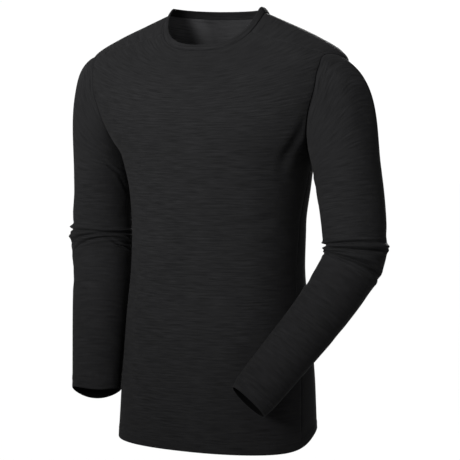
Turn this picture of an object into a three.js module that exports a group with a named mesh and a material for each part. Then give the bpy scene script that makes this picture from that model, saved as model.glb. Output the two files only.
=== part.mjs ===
// A long-sleeved, crew-necked base layer top, worn pose without a wearer.
// Millimetres, +Z up, the chest faces -Y and the wearer's left arm is on +X.
// The origin is on the centre plane, level with the top of the neck binding at the shoulders.

import * as THREE from "three";

const CLOTH_WALL = 1.6;
const BINDING_WALL = 2.6;
// How far the binding stands out past the face of the cloth.
const BINDING_OUT = 0.4;
const SEAM_GAP = 0.3;
const ARMHOLE_GAP = 0.6;
const NECK_GAP = 1;
const CLOTH_COLOUR = 0x1b1b1d;

// The torso is a stack of rings, which climb over the shoulders round the neck. Each has a half width
// from its middle (centreX), a height at its sides and, for the front and the back, a depth from its
// middle line (centreY) and a height on that middle. "up" is the distance from the hem, the "square"
// columns say how squared the ring is (2 is a plain ellipse), and "ridge" how softly it turns over the
// shoulder.
const HEM_UP = 0;
const UNDERARM_UP = 470;
const SHOULDER_UP = 625;
const NECK_UP = 755;
const TORSO_RINGS = [
  {
    up: 0, halfWidth: 165, sideZ: -692, frontDepth: 121, frontZ: -692, backDepth: 114,
    backZ: -692, centreX: 0, centreY: 0, frontSquare: 2.25, backSquare: 2.25, ridge: 2,
  },
  {
    up: 100, halfWidth: 161, sideZ: -597, frontDepth: 118, frontZ: -597, backDepth: 112,
    backZ: -597, centreX: 0, centreY: 2, frontSquare: 2.25, backSquare: 2.25, ridge: 2,
  },
  {
    up: 200, halfWidth: 153, sideZ: -502, frontDepth: 113, frontZ: -502, backDepth: 102,
    backZ: -502, centreX: -1, centreY: 5, frontSquare: 2.25, backSquare: 2.25, ridge: 2,
  },
  {
    up: 300, halfWidth: 144, sideZ: -404, frontDepth: 110, frontZ: -404, backDepth: 93,
    backZ: -404, centreX: -2, centreY: 9, frontSquare: 2.25, backSquare: 2.25, ridge: 2,
  },
  {
    up: 360, halfWidth: 144.5, sideZ: -345, frontDepth: 113, frontZ: -345, backDepth: 92,
    backZ: -345, centreX: -2, centreY: 12, frontSquare: 2.25, backSquare: 2.25, ridge: 2,
  },
  {
    up: 420, halfWidth: 150.5, sideZ: -286, frontDepth: 118, frontZ: -286, backDepth: 96,
    backZ: -286, centreX: -0.5, centreY: 12, frontSquare: 2.25, backSquare: 2.25, ridge: 2,
  },
  {
    up: 470, halfWidth: 161, sideZ: -236, frontDepth: 121, frontZ: -236, backDepth: 104,
    backZ: -236, centreX: -2, centreY: 8, frontSquare: 2.25, backSquare: 2.25, ridge: 2,
  },
  {
    up: 505, halfWidth: 181, sideZ: -204, frontDepth: 120, frontZ: -208, backDepth: 107,
    backZ: -204, centreX: -3, centreY: 5, frontSquare: 2.2, backSquare: 2.2, ridge: 1.6,
  },
  {
    up: 545, halfWidth: 205, sideZ: -163, frontDepth: 117, frontZ: -180, backDepth: 108,
    backZ: -170, centreX: -4, centreY: 2, frontSquare: 2.05, backSquare: 2.15, ridge: 1.3,
  },
  {
    up: 585, halfWidth: 227, sideZ: -108, frontDepth: 111, frontZ: -153, backDepth: 105,
    backZ: -138, centreX: -4, centreY: 0, frontSquare: 1.85, backSquare: 2.1, ridge: 1,
  },
  {
    up: 605, halfWidth: 227, sideZ: -85, frontDepth: 108, frontZ: -140, backDepth: 102,
    backZ: -121, centreX: -3, centreY: 0, frontSquare: 1.85, backSquare: 2.08, ridge: 0.9,
  },
  {
    up: 625, halfWidth: 216, sideZ: -70.5, frontDepth: 105, frontZ: -127, backDepth: 99,
    backZ: -104, centreX: -2, centreY: 0, frontSquare: 1.95, backSquare: 2.05, ridge: 0.8,
  },
  {
    up: 670, halfWidth: 173, sideZ: -46.5, frontDepth: 94, frontZ: -106, backDepth: 91,
    backZ: -71, centreX: -1, centreY: 0, frontSquare: 2, backSquare: 2, ridge: 0.5,
  },
  {
    up: 715, halfWidth: 125, sideZ: -26, frontDepth: 81, frontZ: -89, backDepth: 81,
    backZ: -43, centreX: 0, centreY: 0, frontSquare: 2.1, backSquare: 2.1, ridge: 0.28,
  },
  {
    up: 755, halfWidth: 86, sideZ: -10, frontDepth: 64.4, frontZ: -69, backDepth: 69,
    backZ: -16, centreX: 0, centreY: 0, frontSquare: 2.6, backSquare: 2.1, ridge: 0.14,
  },
];

// The hem is cut higher just behind each side, and hangs a little lower on the wearer's left.
// Angles run from the side: -90 is the front centre.
const HEM_SCOOP = { angle: 23, rise: 28, spread: 29, lean: 0.02, fadeUp: 130 };

// Where the side seam and the shoulder seam run, as angles in front of (-) or behind (+) the side.
const SIDE_SEAM = [
  { up: 0, angle: -13 },
  { up: 200, angle: -8.5 },
  { up: 360, angle: -2.5 },
  { up: 430, angle: 2.5 },
  { up: 470, angle: 10 },
];
const SHOULDER_SEAM = [
  { up: 625, angle: -17 },
  { up: 670, angle: -25 },
  { up: 715, angle: -30 },
  { up: 755, angle: -32 },
];
// How far the armhole's edge lies from its middle line at mid height, in degrees of the ring, and
// how much wider it is below that.
const ARMHOLE = { frontSpread: 22, backSpread: 25, widerBelow: 0.3 };

// The neck binding stands on the neck seam and leans in to its top edge.
const BINDING_TOP = {
  halfWidth: 79.5, sideZ: 0, frontDepth: 59, frontZ: -60, backDepth: 62, backZ: -4, centreX: -0.5, centreY: 0,
  frontSquare: 2.6, backSquare: 2.1, ridge: 0.14,
};

// Sleeve sections below the shoulder cap, down the arm: centre, half size across the arm from the
// body outwards, half size from back to front.
const LEFT_ARM = [
  { x: 231, y: -6, z: -262, across: 53, deep: 50 },
  { x: 239, y: -10, z: -300, across: 52, deep: 48 },
  { x: 246.5, y: -16, z: -345, across: 50.5, deep: 47 },
  { x: 250.5, y: -22, z: -385, across: 48.5, deep: 46 },
  { x: 236, y: -36, z: -423, across: 45, deep: 45 },
  { x: 207, y: -61, z: -476, across: 42.5, deep: 41 },
  { x: 165.6, y: -96.8, z: -540.8, across: 41, deep: 35 },
  { x: 134, y: -122.5, z: -589, across: 39.3, deep: 30 },
  { x: 123.7, y: -131.8, z: -605.8, across: 35.8, deep: 26 },
];
const RIGHT_ARM = [
  { x: -213, y: 2, z: -262, across: 47, deep: 54 },
  { x: -215, y: 6, z: -300, across: 48, deep: 52.5 },
  { x: -219, y: 9.5, z: -345, across: 50.7, deep: 51.2 },
  { x: -219, y: 9, z: -385, across: 52.5, deep: 52 },
  { x: -214, y: 1.5, z: -425, across: 49.5, deep: 48.5 },
  { x: -210.3, y: -11.4, z: -480, across: 47.8, deep: 45.8 },
  { x: -204.2, y: -29.2, z: -551, across: 44.5, deep: 41.5 },
  { x: -198.4, y: -46.4, z: -615, across: 41.2, deep: 36 },
];
// How the cap leaves the shoulder: its slope there, and how far it keeps it.
const LEFT_CAP = { outward: 0.89, down: 0.46, startPull: 1.2, endPull: 1 };
const RIGHT_CAP = { outward: 0.9, down: 0.43, startPull: 1, endPull: 1.1 };
// The shoulder seam ends this far in front of the top of the sleeve, in degrees round the sleeve.
const CAP_TURN = 18;

// The creases at each elbow. "at" is the distance down the arm, "turn" the middle of the crease round
// the sleeve (0 away from the body, 90 in front), "reach" how far it runs either way, in degrees.
// "slant" and "bow" carry its ends further down the arm.
const LEFT_CREASES = [
  { at: 110, turn: 66, reach: 150, slant: -3, bow: -5, width: 3.8, depth: 2.6 },
  { at: 122, turn: 66, reach: 150, slant: -5, bow: -30, width: 4, depth: 3.4 },
  { at: 137, turn: 66, reach: 115, slant: 4, bow: 15, width: 4.4, depth: 2.6 },
  { at: 118, turn: 250, reach: 70, slant: 4, bow: 5, width: 6, depth: 2 },
];
const RIGHT_CREASES = [
  { at: 99, turn: 118, reach: 155, slant: 6, bow: 7, width: 3.8, depth: 2.8 },
  { at: 102, turn: 122, reach: 155, slant: -2, bow: 56, width: 4, depth: 3 },
  { at: 108.5, turn: 122, reach: 105, slant: -8, bow: 45, width: 4.2, depth: 2.2 },
  { at: 135, turn: 178, reach: 58, slant: 28, bow: -8, width: 4.6, depth: 2.4 },
  { at: 97, turn: 290, reach: 70, slant: -4, bow: 5, width: 6, depth: 2 },
  // the swelling of the folds on the outside of the elbow
  { at: 106, turn: 40, reach: 70, slant: 0, bow: 0, width: 12, depth: -3.4 },
];
// The low ridges either side of a crease: their height for its depth, and how far off, in widths.
const CREASE_RIDGES = { height: 0.45, off: 1.7 };

// How a cuff is cut: "dip" hangs it lower at dipTurn and opposite, "tilt" lower at tiltTurn alone.
// Both grow towards the cuff from the distance CUFF_FADE above it.
const LEFT_CUFF = { dip: 1, dipTurn: 62, tilt: 4.8, tiltTurn: 293 };
const RIGHT_CUFF = { dip: 9.5, dipTurn: 118, tilt: 2.5, tiltTurn: 298 };
const CUFF_FADE = 60;

// Grid steps.
const LOWER_ROWS = 12;
const ARMHOLE_ROWS = 14;
const SHOULDER_ROWS = 5;
const FRONT_COLUMNS = 26;
const BACK_COLUMNS = 30;
const CAP_ROWS = 8;
// The middle columns of a panel keep to this half angle, and only the outer ones follow its edge.
const COLUMN_SPAN = 78;
// Keeps the first and last armhole rows from lying too close to the rows beyond them.
const END_ROW_STRETCH = 0.14;
const ARM_STEP = 22;
const CREASE_STEP = 4.6;
const CREASE_MARGIN = 12;
// The distance down the arm over which its direction is taken.
const DIRECTION_STEP = 8;
const BINDING_COLUMNS = 60;
const BINDING_ROWS = 3;

const degrees = Math.PI / 180;
const cloth = () => new THREE.MeshStandardMaterial({ color: CLOTH_COLOUR, roughness: 0.9, metalness: 0 });

// A smooth value between the rows of a table that never overshoots them.
function tableValue(rows, column, at, along = "up") {
  const last = rows.length - 1;
  const x = Math.min(Math.max(at, rows[0][along]), rows[last][along]);
  let i = 0;
  while (i < last - 1 && x > rows[i + 1][along]) i += 1;
  const slope = (k) => (rows[k + 1][column] - rows[k][column]) / (rows[k + 1][along] - rows[k][along]);
  const tangent = (k) => {
    if (k === 0) return slope(0);
    if (k === last) return slope(last - 1);
    const before = slope(k - 1);
    const after = slope(k);
    return before * after <= 0 ? 0 : (2 * before * after) / (before + after);
  };
  const width = rows[i + 1][along] - rows[i][along];
  const t = (x - rows[i][along]) / width;
  return hermite(rows[i][column], tangent(i) * width, rows[i + 1][column], tangent(i + 1) * width, t);
}

function hermite(start, startPull, end, endPull, t) {
  const t2 = t * t;
  const t3 = t2 * t;
  return (2 * t3 - 3 * t2 + 1) * start + (t3 - 2 * t2 + t) * startPull
    + (3 * t2 - 2 * t3) * end + (t3 - t2) * endPull;
}

// Rises from 0 at the shoulder line to 1 on the centre plane; a small ridge value turns over sharply.
const softRise = (depth, ridge) => (Math.hypot(depth, ridge) - ridge) / (Math.hypot(1, ridge) - ridge);

function ringPoint(ring, angle) {
  const across = Math.cos(angle);
  const ahead = Math.sin(angle);
  const square = ahead < 0 ? ring.frontSquare : ring.backSquare;
  const swell = (Math.abs(across) ** square + Math.abs(ahead) ** square) ** (-1 / square);
  const side = across * swell;
  const depth = ahead * swell;
  const lift = softRise(depth, ring.ridge);
  const centreDepth = depth < 0 ? ring.frontDepth : ring.backDepth;
  const centreZ = depth < 0 ? ring.frontZ : ring.backZ;
  return new THREE.Vector3(
    ring.centreX + ring.halfWidth * side,
    ring.centreY + centreDepth * depth,
    ring.sideZ + (centreZ - ring.sideZ) * lift,
  );
}

function hemScoop(angle, up) {
  const fade = Math.max(0, 1 - up / HEM_SCOOP.fadeUp);
  const sideAngle = Math.atan2(Math.sin(angle), Math.abs(Math.cos(angle))) / degrees;
  const away = (sideAngle - HEM_SCOOP.angle) / HEM_SCOOP.spread;
  const lean = -HEM_SCOOP.lean * TORSO_RINGS[0].halfWidth * Math.cos(angle);
  return (HEM_SCOOP.rise * Math.exp(-away * away) + lean) * fade * fade;
}

const RING_COLUMNS = [
  "halfWidth", "sideZ", "frontDepth", "frontZ", "backDepth", "backZ", "centreX", "centreY",
  "frontSquare", "backSquare", "ridge",
];

// The outer face of the torso at an angle round it and a distance up it.
function torsoPoint(angle, up) {
  const ring = {};
  for (const column of RING_COLUMNS) ring[column] = tableValue(TORSO_RINGS, column, up);
  const point = ringPoint(ring, angle);
  point.z += hemScoop(angle, up);
  return point;
}

function torsoAcross(angle, up) {
  const step = 0.4 * degrees;
  return torsoPoint(angle + step, up).sub(torsoPoint(angle - step, up)).divideScalar(2 * step);
}

function torsoNormal(angle, up) {
  const step = 2;
  const below = torsoPoint(angle, Math.max(up - step, HEM_UP));
  const rise = torsoPoint(angle, Math.min(up + step, NECK_UP)).sub(below);
  return torsoAcross(angle, up).cross(rise).normalize();
}

// The edge angles of the front and back panels on the wearer's left, for each grid row.
function panelRows() {
  const rows = [];
  for (let i = 0; i <= LOWER_ROWS; i += 1) {
    const up = UNDERARM_UP * i / LOWER_ROWS;
    const seam = tableValue(SIDE_SEAM, "angle", up) * degrees;
    rows.push({ up, front: seam, back: seam, seamed: true });
  }
  const bottom = tableValue(SIDE_SEAM, "angle", UNDERARM_UP);
  const top = tableValue(SHOULDER_SEAM, "angle", SHOULDER_UP);
  for (let i = 1; i < ARMHOLE_ROWS; i += 1) {
    const turn = Math.PI * i / ARMHOLE_ROWS + END_ROW_STRETCH * Math.sin(2 * Math.PI * i / ARMHOLE_ROWS);
    const climb = (1 - Math.cos(turn)) / 2;
    const middle = bottom + (top - bottom) * climb;
    const opening = Math.sin(turn) * (1 + ARMHOLE.widerBelow * Math.cos(turn));
    const front = (middle - ARMHOLE.frontSpread * opening) * degrees;
    const back = (middle + ARMHOLE.backSpread * opening) * degrees;
    rows.push({ up: UNDERARM_UP + (SHOULDER_UP - UNDERARM_UP) * climb, front, back, seamed: false });
  }
  for (let i = 0; i <= SHOULDER_ROWS; i += 1) {
    const up = SHOULDER_UP + (NECK_UP - SHOULDER_UP) * i / SHOULDER_ROWS;
    const seam = tableValue(SHOULDER_SEAM, "angle", up) * degrees;
    rows.push({ up, front: seam, back: seam, seamed: true });
  }
  return rows;
}

const PANEL_ROWS = panelRows();

// A wall between an outer grid of points and an inner one, closed along its edges.
function wallGeometry(outer, inner, closedRound) {
  const rowCount = outer.length;
  const columnCount = outer[0].length;
  const positions = [];
  for (const grid of [outer, inner]) {
    for (const row of grid) for (const point of row) positions.push(point.x, point.y, point.z);
  }
  const innerStart = rowCount * columnCount;
  const at = (row, column, start = 0) => start + row * columnCount + (column % columnCount);
  const indices = [];
  const face = (a, b, c, d) => indices.push(a, b, c, a, c, d);
  const lastColumn = closedRound ? columnCount : columnCount - 1;
  for (let row = 0; row < rowCount - 1; row += 1) {
    for (let column = 0; column < lastColumn; column += 1) {
      face(at(row, column), at(row, column + 1), at(row + 1, column + 1), at(row + 1, column));
      face(at(row, column, innerStart), at(row + 1, column, innerStart),
        at(row + 1, column + 1, innerStart), at(row, column + 1, innerStart));
    }
  }
  for (let column = 0; column < lastColumn; column += 1) {
    const lastRow = rowCount - 1;
    face(at(0, column), at(0, column, innerStart), at(0, column + 1, innerStart), at(0, column + 1));
    face(at(lastRow, column), at(lastRow, column + 1),
      at(lastRow, column + 1, innerStart), at(lastRow, column, innerStart));
  }
  if (!closedRound) {
    for (let row = 0; row < rowCount - 1; row += 1) {
      face(at(row, 0), at(row + 1, 0), at(row + 1, 0, innerStart), at(row, 0, innerStart));
      face(at(row, lastColumn), at(row, lastColumn, innerStart),
        at(row + 1, lastColumn, innerStart), at(row + 1, lastColumn));
    }
  }
  const geometry = new THREE.BufferGeometry();
  geometry.setAttribute("position", new THREE.Float32BufferAttribute(positions, 3));
  geometry.setIndex(facingOut(positions, indices));
  geometry.computeVertexNormals();
  return geometry;
}

// Turns every face over where the solid would be inside out.
function facingOut(positions, indices) {
  const corner = (i) => new THREE.Vector3().fromArray(positions, 3 * i);
  let volume = 0;
  for (let i = 0; i < indices.length; i += 3) {
    volume += corner(indices[i]).dot(corner(indices[i + 1]).cross(corner(indices[i + 2])));
  }
  if (volume > 0) return indices;
  const turned = [];
  for (let i = 0; i < indices.length; i += 3) turned.push(indices[i], indices[i + 2], indices[i + 1]);
  return turned;
}

// A panel runs from its edge on the wearer's right to the mirrored edge on the left.
function panelGeometry(centreAngle, edgeOf, columns) {
  const outer = [];
  const inner = [];
  for (const row of PANEL_ROWS) {
    const edge = edgeOf(row);
    const outerRow = [];
    const innerRow = [];
    for (let i = 0; i <= columns; i += 1) {
      const share = 2 * i / columns - 1;
      const span = COLUMN_SPAN * Math.sign(edge - centreAngle) * degrees;
      const angle = centreAngle + share * (span + (edge - centreAngle - span) * share * share);
      const point = torsoPoint(angle, row.up);
      outerRow.push(point);
      innerRow.push(point.clone().addScaledVector(torsoNormal(angle, row.up), -CLOTH_WALL));
    }
    outer.push(outerRow);
    inner.push(innerRow);
  }
  return wallGeometry(outer, inner, false);
}

function seamShift(row) {
  return row.seamed ? SEAM_GAP / 2 / torsoAcross(row.front, row.up).length() : 0;
}

const frontEdge = (row) => row.front - seamShift(row);
const backEdge = (row) => row.back + seamShift(row);

// The points of one armhole, from the shoulder down the front and up the back. "outward" is 1 on the
// wearer's left and -1 on the right, where the angles are counted the other way round.
function armholeLoop(outward) {
  const first = LOWER_ROWS;
  const last = LOWER_ROWS + ARMHOLE_ROWS;
  const stops = [];
  for (let i = last; i > first; i -= 1) stops.push({ angle: PANEL_ROWS[i].front, up: PANEL_ROWS[i].up });
  for (let i = first; i < last; i += 1) stops.push({ angle: PANEL_ROWS[i].back, up: PANEL_ROWS[i].up });
  const turned = (angle) => (outward > 0 ? angle : Math.PI - angle);
  const points = stops.map((stop) => torsoPoint(turned(stop.angle), stop.up));
  const count = points.length;
  return points.map((point, i) => {
    const along = points[(i + 1) % count].clone().sub(points[(i + count - 1) % count]).normalize();
    const normal = torsoNormal(turned(stops[i].angle), stops[i].up);
    const intoHole = normal.cross(along).normalize().multiplyScalar(outward);
    return point.clone().addScaledVector(intoHole, ARMHOLE_GAP);
  });
}

function armSection(arm, at) {
  const value = (column) => tableValue(arm, column, at, "at");
  return {
    centre: new THREE.Vector3(value("x"), value("y"), value("z")),
    across: value("across"),
    deep: value("deep"),
  };
}

// Adds to each section its distance down the arm.
function measured(arm) {
  let at = 0;
  return arm.map((section, i) => {
    const before = arm[Math.max(i - 1, 0)];
    at += Math.hypot(section.x - before.x, section.y - before.y, section.z - before.z);
    return { ...section, at };
  });
}

// How far the creases push a sleeve's face in (-) or out (+).
function creaseRelief(creases, at, turn) {
  let relief = 0;
  for (const crease of creases) {
    const turned = THREE.MathUtils.euclideanModulo(turn / degrees - crease.turn + 180, 360) - 180;
    const along = turned / crease.reach;
    if (Math.abs(along) >= 1) continue;
    const middle = crease.at + crease.slant * along + crease.bow * along * along;
    const off = (at - middle) / crease.width;
    const strength = crease.depth * (1 - along * along) ** 2;
    const trough = Math.exp(-off * off);
    const ridges = Math.exp(-((off - CREASE_RIDGES.off) ** 2)) + Math.exp(-((off + CREASE_RIDGES.off) ** 2));
    relief += strength * (CREASE_RIDGES.height * ridges - trough);
  }
  return relief;
}

function armPoint(sleeve, at, turn) {
  const { arm, outward, creases, cuff } = sleeve;
  const section = armSection(arm, at);
  const length = arm[arm.length - 1].at;
  const before = armSection(arm, Math.max(at - DIRECTION_STEP / 2, 0)).centre;
  const after = armSection(arm, Math.min(at + DIRECTION_STEP / 2, length)).centre;
  const down = after.sub(before).normalize();
  const out = new THREE.Vector3(outward, 0, 0);
  out.addScaledVector(down, -out.dot(down)).normalize();
  const front = new THREE.Vector3(0, -1, 0);
  front.addScaledVector(down, -front.dot(down)).addScaledVector(out, -front.dot(out)).normalize();
  const relief = creaseRelief(creases, at, turn);
  const nearCuff = Math.max(0, 1 - (length - at) / CUFF_FADE);
  const dip = cuff.dip * Math.cos(turn - cuff.dipTurn * degrees) ** 2;
  const tilt = cuff.tilt * Math.cos(turn - cuff.tiltTurn * degrees);
  return section.centre.clone()
    .addScaledVector(out, (section.across + relief) * Math.cos(turn))
    .addScaledVector(front, (section.deep + relief) * Math.sin(turn))
    .addScaledVector(down, (dip + tilt) * nearCuff * nearCuff);
}

// Places for the rings down the arm, close together where the creases are.
function sleeveRowPlaces(sleeve) {
  const length = sleeve.arm[sleeve.arm.length - 1].at;
  const spots = sleeve.creases.map((crease) => crease.at);
  const first = Math.min(...spots) - CREASE_MARGIN;
  const last = Math.max(...spots) + 2 * CREASE_MARGIN;
  const places = [];
  const fill = (from, to, step) => {
    const steps = Math.ceil((to - from) / step);
    for (let i = 1; i <= steps; i += 1) places.push(from + (to - from) * i / steps);
  };
  fill(0, first, ARM_STEP);
  fill(first, last, CREASE_STEP);
  fill(last, length, ARM_STEP);
  return places;
}

function sleeveGeometry(sleeve) {
  const { arm, outward, cap } = sleeve;
  const loop = armholeLoop(outward);
  const flow = new THREE.Vector3(cap.outward * outward, 0, -cap.down);
  const turnOf = (i) => 2 * Math.PI * i / loop.length + CAP_TURN * degrees;
  const armDown = armSection(arm, DIRECTION_STEP).centre.sub(armSection(arm, 0).centre).normalize();
  const grid = [];
  for (let row = 0; row <= CAP_ROWS; row += 1) {
    const t = row / CAP_ROWS;
    grid.push(loop.map((point, i) => {
      const end = armPoint(sleeve, 0, turnOf(i));
      const chord = end.clone().sub(point);
      const reach = chord.length();
      const startPull = chord.clone().normalize().lerp(flow, 0.5 + 0.5 * Math.cos(turnOf(i))).normalize()
        .multiplyScalar(reach * cap.startPull);
      const endPull = armDown.clone().multiplyScalar(reach * cap.endPull);
      const axis = (name) => hermite(point[name], startPull[name], end[name], endPull[name], t);
      return new THREE.Vector3(axis("x"), axis("y"), axis("z"));
    }));
  }
  for (const at of sleeveRowPlaces(sleeve)) {
    grid.push(loop.map((_, i) => armPoint(sleeve, at, turnOf(i))));
  }
  const inner = grid.map((points, row) => points.map((point, i) => {
    const normal = gridNormal(grid, row, i).multiplyScalar(outward);
    return point.clone().addScaledVector(normal, -CLOTH_WALL);
  }));
  return wallGeometry(grid, inner, true);
}

// The outward normal of a sleeve's grid of points, for the sleeve on the wearer's left.
function gridNormal(grid, row, column) {
  const count = grid[row].length;
  const above = grid[Math.max(row - 1, 0)][column];
  const down = grid[Math.min(row + 1, grid.length - 1)][column].clone().sub(above);
  const before = grid[row][(column + count - 1) % count];
  const round = grid[row][(column + 1) % count].clone().sub(before);
  return round.cross(down).normalize();
}

function bindingGeometry() {
  const seamRing = { ...TORSO_RINGS[TORSO_RINGS.length - 1] };
  const outer = [];
  const inner = [];
  for (let row = 0; row <= BINDING_ROWS; row += 1) {
    const outerRow = [];
    const innerRow = [];
    for (let i = 0; i < BINDING_COLUMNS; i += 1) {
      const angle = 2 * Math.PI * i / BINDING_COLUMNS;
      const foot = ringPoint(seamRing, angle);
      const top = ringPoint(BINDING_TOP, angle);
      const rise = top.clone().sub(foot);
      const across = new THREE.Vector3(
        -Math.sin(angle) * seamRing.halfWidth, Math.cos(angle) * seamRing.frontDepth, 0,
      );
      const normal = across.cross(rise).normalize();
      const start = NECK_GAP / rise.length();
      const point = foot.clone().addScaledVector(rise, start + (1 - start) * row / BINDING_ROWS);
      outerRow.push(point.clone().addScaledVector(normal, BINDING_OUT));
      innerRow.push(point.clone().addScaledVector(normal, BINDING_OUT - BINDING_WALL));
    }
    outer.push(outerRow);
    inner.push(innerRow);
  }
  return wallGeometry(outer, inner, true);
}

function piece(name, geometry) {
  const mesh = new THREE.Mesh(geometry, cloth());
  mesh.name = name;
  return mesh;
}

const top = new THREE.Group();
top.add(piece("front_panel", panelGeometry(-Math.PI / 2, frontEdge, FRONT_COLUMNS)));
top.add(piece("back_panel", panelGeometry(Math.PI / 2, backEdge, BACK_COLUMNS)));
top.add(piece("sleeve_left", sleeveGeometry({
  arm: measured(LEFT_ARM), outward: 1, cap: LEFT_CAP, creases: LEFT_CREASES, cuff: LEFT_CUFF,
})));
top.add(piece("sleeve_right", sleeveGeometry({
  arm: measured(RIGHT_ARM), outward: -1, cap: RIGHT_CAP, creases: RIGHT_CREASES, cuff: RIGHT_CUFF,
})));
top.add(piece("neck_binding", bindingGeometry()));

export default top;
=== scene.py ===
"""The looks of a long-sleeved, crew-necked base layer top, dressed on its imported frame.

Each cloth shell follows the surface of the solid it stands for, finer and with all its creases.
Sizes are in millimetres and become metres where a mesh is made. The chest faces -Y, the wearer's
left arm is on +X, and the origin is level with the top of the neck binding at the shoulders.
"""

import math

import bmesh
import bpy
import numpy as np
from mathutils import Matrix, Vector, kdtree


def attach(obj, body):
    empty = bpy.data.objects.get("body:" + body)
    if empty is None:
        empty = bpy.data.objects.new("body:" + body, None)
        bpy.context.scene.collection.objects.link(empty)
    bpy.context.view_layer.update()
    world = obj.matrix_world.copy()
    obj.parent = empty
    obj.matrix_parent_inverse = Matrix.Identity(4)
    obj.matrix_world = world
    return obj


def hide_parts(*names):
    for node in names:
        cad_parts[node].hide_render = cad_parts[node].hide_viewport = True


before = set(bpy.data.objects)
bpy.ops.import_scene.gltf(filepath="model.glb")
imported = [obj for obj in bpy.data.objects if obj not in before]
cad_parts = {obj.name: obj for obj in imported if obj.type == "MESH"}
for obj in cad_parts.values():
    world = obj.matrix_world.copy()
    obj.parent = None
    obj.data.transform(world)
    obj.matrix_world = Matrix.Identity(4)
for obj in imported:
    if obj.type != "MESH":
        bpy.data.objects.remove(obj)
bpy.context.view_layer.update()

# Millimetres in metres, degrees in radians, and the least length that a vector is divided by.
MM = 0.001
DEGREES = math.pi / 180
TINY = 1e-9

# Thickness of the walls, and how far sewn edges lie apart.
CLOTH_WALL = 1.6
BINDING_WALL = 2.6
SEAM_GAP = 0.3
ARMHOLE_GAP = 0.6
NECK_GAP = 1.0


class Table:
    """Rows of sizes under named columns, read smoothly between the rows without overshoot."""

    def __init__(self, columns, *rows):
        self.columns = dict(zip(columns.split(), np.array(rows, float).T))

    def read(self, column, at, along="up"):
        x = self.columns[along]
        y = self.columns[column]
        slope = np.diff(y) / np.diff(x)
        product = slope[:-1] * slope[1:]
        both = slope[:-1] + slope[1:]
        middle = np.where(product > 0, 2 * product / np.where(product > 0, both, 1), 0)
        tangent = np.concatenate([slope[:1], middle, slope[-1:]])
        at = np.clip(at, x[0], x[-1])
        i = np.clip(np.searchsorted(x, at, side="right") - 1, 0, len(x) - 2)
        width = x[i + 1] - x[i]
        t = (at - x[i]) / width
        return hermite(y[i], tangent[i] * width, y[i + 1], tangent[i + 1] * width, t)

    def rows(self):
        """Each row as a dict of its named sizes."""
        return [dict(zip(self.columns, row)) for row in zip(*self.columns.values())]

    def first(self, column):
        return self.columns[column][0]

    def last(self, column):
        return self.columns[column][-1]


def hermite(start, start_pull, end, end_pull, t):
    """A curve that leaves its start along one pull and reaches its end along the other."""
    t2 = t * t
    t3 = t2 * t
    near = (2 * t3 - 3 * t2 + 1) * start + (t3 - 2 * t2 + t) * start_pull
    return near + (3 * t2 - 2 * t3) * end + (t3 - t2) * end_pull


# The torso's rings, from the hem up over the shoulders to the neck seam; "up" is the way along the
# cloth. Each ring has its own depth and height in front and behind. Its "square" is 2 for an ellipse
# and more for squarer corners, and "ridge" rounds its rise from the shoulder line.
UNDERARM_UP = 470
SHOULDER_UP = 625
NECK_UP = 755
TORSO_RINGS = Table(
    "up half_width side_z front_depth front_z back_depth back_z centre_x centre_y"
    " front_square back_square ridge",
    (0, 165, -692, 121, -692, 114, -692, 0, 0, 2.25, 2.25, 2),
    (100, 161, -597, 118, -597, 112, -597, 0, 2, 2.25, 2.25, 2),
    (200, 153, -502, 113, -502, 102, -502, -1, 5, 2.25, 2.25, 2),
    (300, 144, -404, 110, -404, 93, -404, -2, 9, 2.25, 2.25, 2),
    (360, 144.5, -345, 113, -345, 92, -345, -2, 12, 2.25, 2.25, 2),
    (420, 150.5, -286, 118, -286, 96, -286, -0.5, 12, 2.25, 2.25, 2),
    (470, 161, -236, 121, -236, 104, -236, -2, 8, 2.25, 2.25, 2),
    (505, 181, -204, 120, -208, 107, -204, -3, 5, 2.2, 2.2, 1.6),
    (545, 205, -163, 117, -180, 108, -170, -4, 2, 2.05, 2.15, 1.3),
    (585, 227, -108, 111, -153, 105, -138, -4, 0, 1.85, 2.1, 1),
    (605, 227, -85, 108, -140, 102, -121, -3, 0, 1.85, 2.08, 0.9),
    (625, 216, -70.5, 105, -127, 99, -104, -2, 0, 1.95, 2.05, 0.8),
    (670, 173, -46.5, 94, -106, 91, -71, -1, 0, 2, 2, 0.5),
    (715, 125, -26, 81, -89, 81, -43, 0, 0, 2.1, 2.1, 0.28),
    (755, 86, -10, 64.4, -69, 69, -16, 0, 0, 2.6, 2.1, 0.14),
)
BINDING_TOP = dict(
    half_width=79.5, side_z=0, front_depth=59, front_z=-60, back_depth=62, back_z=-4,
    centre_x=-0.5, centre_y=0, front_square=2.6, back_square=2.1, ridge=0.14,
)
# How far the binding stands out from the neck seam, how far its middle bulges past its edges, and
# the share of its height below its rounded top edge. Its small waves lie near its foot: how many
# there are round the neck with their start in radians, their height, and their place and reach as
# shares of the band.
BINDING_OUT = 0.4
BINDING_ROLL = 0.7
BINDING_TO_RIM = 0.93
BINDING_WAVES = ((31, 0), (47, 0.8), (83, 2))
BINDING_WAVE_HEIGHT = 0.12
BINDING_WAVE_AT = 0.12
BINDING_WAVE_REACH = 0.2

# Seams, as angles from the wearer's left side: -90 is the front centre, 90 the back centre.
SIDE_SEAM = Table("up angle", (0, -13), (200, -8.5), (360, -2.5), (430, 2.5), (470, 10))
SHOULDER_SEAM = Table("up angle", (625, -17), (670, -25), (715, -30), (755, -32))
# The armhole's reach to the front and back of its middle line, in degrees, how much wider it is
# below than above, and how much farther apart its points lie at its ends.
FRONT_SPREAD = 22
BACK_SPREAD = 25
WIDER_BELOW = 0.3
END_STRETCH = 0.14

# The hem rises just behind each side, and slopes down a little towards the wearer's left.
HEM_SCOOP = dict(angle=23, rise=28, spread=29, lean=0.02, fade_up=130)

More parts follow.
